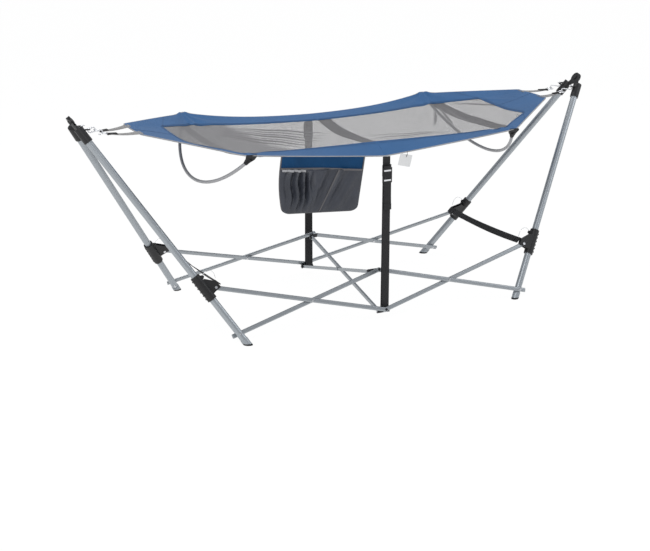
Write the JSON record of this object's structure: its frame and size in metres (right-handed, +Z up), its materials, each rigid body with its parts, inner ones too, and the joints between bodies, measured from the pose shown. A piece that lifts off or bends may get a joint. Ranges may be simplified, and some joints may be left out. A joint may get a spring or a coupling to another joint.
{
  "type": "folding hammock on stand",
  "caption": "Folding portable hammock with a blue-edged mesh bed hooked between tilted legs on a collapsible frame of scissor braces.",
  "frame": {"origin": "on the floor, under the middle of the bed", "axes": "+X along the bed to its right end, +Y from the front row of braces to the back row, +Z up"},
  "size_m": [2.3722, 0.8422, 0.8751],
  "materials": {
    "grey_tube": "satin",
    "grey_bar": "satin",
    "black_plastic": "matte",
    "bright_steel": "polished",
    "dark_bracket": "satin",
    "black_webbing": "woven",
    "blue_fabric": "woven",
    "dark_fabric": "woven",
    "white_card": "smooth"
  },
  "bodies": {
    "front_anchor": {"strap_pin_front": "bright_steel", "strap_front": "black_webbing"},
    "lower_hub_front": {"lower_hub_front": "dark_bracket"},
    "long_brace_front_left": {"long_brace_front_left": "grey_bar"},
    "short_brace_front_left": {"short_brace_front_left": "grey_bar", "brace_rivets_front_left": "bright_steel"},
    "long_brace_front_right": {"long_brace_front_right": "grey_bar"},
    "short_brace_front_right": {"short_brace_front_right": "grey_bar", "brace_rivets_front_right": "bright_steel"},
    "upper_hub_front": {"upper_hub_front": "dark_bracket"},
    "cross_bar_two": {"cross_bar_two": "grey_bar"},
    "cross_bar_one": {"cross_bar_one": "grey_bar"},
    "upper_hub_back": {"upper_hub_back": "dark_bracket"},
    "short_brace_back_left": {"short_brace_back_left": "grey_bar", "brace_rivets_back_left": "bright_steel"},
    "long_brace_back_left": {"long_brace_back_left": "grey_bar"},
    "short_brace_back_right": {"short_brace_back_right": "grey_bar", "brace_rivets_back_right": "bright_steel"},
    "long_brace_back_right": {"long_brace_back_right": "grey_bar"},
    "lower_hub_back": {"lower_hub_back": "dark_bracket"},
    "back_anchor": {"strap_pin_back": "bright_steel", "strap_back": "black_webbing"},
    "leg_front_left": {"leg_front_left": "grey_tube", "foot_cap_front_left": "black_plastic", "head_front_left": "black_plastic"},
    "slider_front_left": {"slider_front_left": "black_plastic", "slider_rivet_front_left": "bright_steel", "tie_strap_left": "black_webbing"},
    "lock_button_front_left": {"lock_button_front_left": "black_plastic"},
    "leg_front_right": {"leg_front_right": "grey_tube", "foot_cap_front_right": "black_plastic", "head_front_right": "black_plastic"},
    "slider_front_right": {"slider_front_right": "black_plastic", "slider_rivet_front_right": "bright_steel", "tie_strap_right": "black_webbing"},
    "lock_button_front_right": {"lock_button_front_right": "black_plastic"},
    "leg_back_right": {"leg_back_right": "grey_tube", "foot_cap_back_right": "black_plastic", "head_back_right": "black_plastic"},
    "slider_back_right": {"slider_back_right": "black_plastic", "slider_rivet_back_right": "bright_steel"},
    "lock_button_back_right": {"lock_button_back_right": "black_plastic"},
    "leg_back_left": {"leg_back_left": "grey_tube", "foot_cap_back_left": "black_plastic", "head_back_left": "black_plastic"},
    "slider_back_left": {"slider_back_left": "black_plastic", "slider_rivet_back_left": "bright_steel"},
    "lock_button_back_left": {"lock_button_back_left": "black_plastic"},
    "hooks_left": {"hooks_left": "bright_steel"},
    "bed_left": {"bed_left": "blue_fabric", "bow_left": "grey_tube", "bow_caps_left": "black_plastic", "side_pocket": "dark_fabric"},
    "hooks_right": {"hooks_right": "bright_steel"},
    "bed_right": {"bed_right": "blue_fabric", "bow_right": "grey_tube", "bow_caps_right": "black_plastic", "hang_tag": "white_card"},
    "buckle_front": {"buckle_front": "bright_steel"},
    "buckle_back": {"buckle_back": "bright_steel"}
  },
  "joints": [
    {"name": "fold", "type": "hinge", "parent": "front_anchor", "child": "lower_hub_front", "pos_m": [0, -0.35137, 0.03322], "axis": [1, 0, 0], "range_deg": [0, 22.78]},
    {"name": "long_brace_front_left", "type": "hinge", "parent": "lower_hub_front", "child": "long_brace_front_left", "pos_m": [0, -0.37525, 0.0435], "axis": [0, 0.9184, -0.3956], "range_deg": [0, 70.33]},
    {"name": "short_brace_front_left", "type": "hinge", "parent": "long_brace_front_left", "child": "short_brace_front_left", "pos_m": [-0.31684, -0.33736, 0.11756], "axis": [0, -0.9184, 0.3956], "range_deg": [0, 140.65]},
    {"name": "long_brace_front_right", "type": "hinge", "parent": "lower_hub_front", "child": "long_brace_front_right", "pos_m": [0, -0.36515, 0.03915], "axis": [0, -0.9184, 0.3956], "range_deg": [0, 70.33]},
    {"name": "short_brace_front_right", "type": "hinge", "parent": "long_brace_front_right", "child": "short_brace_front_right", "pos_m": [0.31684, -0.33736, 0.11756], "axis": [0, 0.9184, -0.3956], "range_deg": [0, 140.65]},
    {"name": "upper_hub_front", "type": "hinge", "parent": "short_brace_front_left", "child": "upper_hub_front", "pos_m": [0, -0.30453, 0.19379], "axis": [0, 0.9184, -0.3956], "range_deg": [0, 70.33]},
    {"name": "cross_bar_two", "type": "hinge", "parent": "upper_hub_front", "child": "cross_bar_two", "pos_m": [0, -0.2857, 0.18568], "axis": [-1, 0, 0], "range_deg": [0, 94.31]},
    {"name": "cross_bar_one", "type": "hinge", "parent": "front_anchor", "child": "cross_bar_one", "pos_m": [0, -0.35137, 0.03322], "axis": [1, 0, 0], "range_deg": [0, 71.52]},
    {"name": "upper_hub_back", "type": "hinge", "parent": "cross_bar_one", "child": "upper_hub_back", "pos_m": [0, 0.2857, 0.18568], "axis": [-1, 0, 0], "range_deg": [0, 94.31]},
    {"name": "short_brace_back_left", "type": "hinge", "parent": "upper_hub_back", "child": "short_brace_back_left", "pos_m": [0, 0.30958, 0.19596], "axis": [0, -0.9184, -0.3956], "range_deg": [0, 70.33]},
    {"name": "long_brace_back_left", "type": "hinge", "parent": "short_brace_back_left", "child": "long_brace_back_left", "pos_m": [-0.31684, 0.33736, 0.11756], "axis": [0, 0.9184, 0.3956], "range_deg": [0, 140.65]},
    {"name": "short_brace_back_right", "type": "hinge", "parent": "upper_hub_back", "child": "short_brace_back_right", "pos_m": [0, 0.29947, 0.19161], "axis": [0, 0.9184, 0.3956], "range_deg": [0, 70.33]},
    {"name": "long_brace_back_right", "type": "hinge", "parent": "short_brace_back_right", "child": "long_brace_back_right", "pos_m": [0.31684, 0.33736, 0.11756], "axis": [0, -0.9184, -0.3956], "range_deg": [0, 140.65]},
    {"name": "lower_hub_back", "type": "hinge", "parent": "long_brace_back_left", "child": "lower_hub_back", "pos_m": [0, 0.3702, 0.04133], "axis": [0, -0.9184, -0.3956], "range_deg": [0, 70.33]},
    {"name": "strap_pin_back", "type": "hinge", "parent": "lower_hub_back", "child": "back_anchor", "pos_m": [0, 0.35137, 0.03322], "axis": [1, 0, 0], "range_deg": [0, 22.79]},
    {"name": "leg_front_left", "type": "hinge", "parent": "short_brace_front_left", "child": "leg_front_left", "pos_m": [-0.65148, -0.37204, 0.03705], "axis": [0, 0.9184, -0.3956], "range_deg": [0, 96.91]},
    {"name": "slider_front_left", "type": "slide", "parent": "leg_front_left", "child": "slider_front_left", "axis": [-0.503, 0.3419, 0.7938], "range_m": [0, 0.55559], "deforming": ["tie_strap_left"]},
    {"name": "lock_button_front_left", "type": "slide", "parent": "slider_front_left", "child": "lock_button_front_left", "axis": [0.8643, 0.199, 0.462], "range_m": [0, 0.006], "stiffness_N_per_m": 40},
    {"name": "leg_front_right", "type": "hinge", "parent": "short_brace_front_right", "child": "leg_front_right", "pos_m": [0.65148, -0.37204, 0.03705], "axis": [0, -0.9184, 0.3956], "range_deg": [0, 96.91]},
    {"name": "slider_front_right", "type": "slide", "parent": "leg_front_right", "child": "slider_front_right", "axis": [0.503, 0.3419, 0.7938], "range_m": [0, 0.55559], "deforming": ["tie_strap_right"]},
    {"name": "lock_button_front_right", "type": "slide", "parent": "slider_front_right", "child": "lock_button_front_right", "axis": [-0.8643, 0.199, 0.462], "range_m": [0, 0.006], "stiffness_N_per_m": 40},
    {"name": "leg_back_right", "type": "hinge", "parent": "short_brace_back_right", "child": "leg_back_right", "pos_m": [0.65148, 0.37204, 0.03705], "axis": [0, -0.9184, -0.3956], "range_deg": [0, 96.91]},
    {"name": "slider_back_right", "type": "slide", "parent": "leg_back_right", "child": "slider_back_right", "axis": [0.503, -0.3419, 0.7938], "range_m": [0, 0.55559]},
    {"name": "lock_button_back_right", "type": "slide", "parent": "slider_back_right", "child": "lock_button_back_right", "axis": [-0.8643, -0.199, 0.462], "range_m": [0, 0.006], "stiffness_N_per_m": 40},
    {"name": "leg_back_left", "type": "hinge", "parent": "short_brace_back_left", "child": "leg_back_left", "pos_m": [-0.65148, 0.37204, 0.03705], "axis": [0, 0.9184, 0.3956], "range_deg": [0, 96.91]},
    {"name": "slider_back_left", "type": "slide", "parent": "leg_back_left", "child": "slider_back_left", "axis": [-0.503, -0.3419, 0.7938], "range_m": [0, 0.55559]},
    {"name": "lock_button_back_left", "type": "slide", "parent": "slider_back_left", "child": "lock_button_back_left", "axis": [0.8643, -0.199, 0.462], "range_m": [0, 0.006], "stiffness_N_per_m": 40},
    {"name": "hooks_left", "type": "hinge", "parent": "leg_front_left", "child": "hooks_left", "pos_m": [-1.10617, -0.0549, 0.82212], "axis": [-0.4125, 0.8938, -0.1762], "range_deg": [0, 52.4]},
    {"name": "bed_left", "type": "hinge", "parent": "hooks_left", "child": "bed_left", "pos_m": [-1.04083, -0.01569, 0.80107], "axis": [0, 1, 0], "range_deg": [0, 12.01], "deforming": ["bed_left", "bow_left", "bow_caps_left", "side_pocket"]},
    {"name": "hooks_right", "type": "hinge", "parent": "leg_front_right", "child": "hooks_right", "pos_m": [1.11179, -0.02353, 0.81911], "axis": [-0.4125, -0.8938, 0.1762], "range_deg": [0, 52.4]},
    {"name": "bed_right", "type": "hinge", "parent": "hooks_right", "child": "bed_right", "pos_m": [1.04083, 0.01569, 0.80107], "axis": [0, -1, 0], "range_deg": [0, 12.01], "deforming": ["bed_right", "bow_right", "bow_caps_right", "hang_tag"]},
    {"name": "buckle_front", "type": "slide", "parent": "front_anchor", "child": "buckle_front", "axis": [0, 0, -1], "range_m": [0, 0.4001], "deforming": ["strap_front"]},
    {"name": "buckle_back", "type": "slide", "parent": "back_anchor", "child": "buckle_back", "axis": [0, 0, -1], "range_m": [0, 0.4001], "deforming": ["strap_back"]}
  ],
  "couplings": [
    {"joint": "long_brace_front_left", "follows": "fold", "ratio": 3.0863},
    {"joint": "short_brace_front_left", "follows": "fold", "ratio": 6.1727},
    {"joint": "long_brace_front_right", "follows": "fold", "ratio": 3.0863},
    {"joint": "short_brace_front_right", "follows": "fold", "ratio": 6.1727},
    {"joint": "upper_hub_front", "follows": "fold", "ratio": 3.0863},
    {"joint": "cross_bar_two", "follows": "fold", "ratio": 4.1387},
    {"joint": "cross_bar_one", "follows": "fold", "ratio": 3.1387},
    {"joint": "upper_hub_back", "follows": "fold", "ratio": 4.1387},
    {"joint": "short_brace_back_left", "follows": "fold", "ratio": 3.0863},
    {"joint": "long_brace_back_left", "follows": "fold", "ratio": 6.1727},
    {"joint": "short_brace_back_right", "follows": "fold", "ratio": 3.0863},
    {"joint": "long_brace_back_right", "follows": "fold", "ratio": 6.1727},
    {"joint": "lower_hub_back", "follows": "fold", "ratio": 3.0863},
    {"joint": "strap_pin_back", "follows": "fold", "ratio": 1},
    {"joint": "leg_front_left", "follows": "fold", "ratio": 4.2527},
    {"joint": "slider_front_left", "follows": "fold", "m_per_rad": 1.3969},
    {"joint": "leg_front_right", "follows": "fold", "ratio": 4.2527},
    {"joint": "slider_front_right", "follows": "fold", "m_per_rad": 1.3969},
    {"joint": "leg_back_right", "follows": "fold", "ratio": 4.2527},
    {"joint": "slider_back_right", "follows": "fold", "m_per_rad": 1.3969},
    {"joint": "leg_back_left", "follows": "fold", "ratio": 4.2527},
    {"joint": "slider_back_left", "follows": "fold", "m_per_rad": 1.3969},
    {"joint": "hooks_left", "follows": "fold", "ratio": 2.2995},
    {"joint": "bed_left", "follows": "fold", "ratio": 0.52667},
    {"joint": "hooks_right", "follows": "fold", "ratio": 2.2995},
    {"joint": "bed_right", "follows": "fold", "ratio": 0.52667},
    {"joint": "buckle_front", "follows": "fold", "m_per_rad": 1.0059},
    {"joint": "buckle_back", "follows": "fold", "m_per_rad": 1.0059}
  ]
}
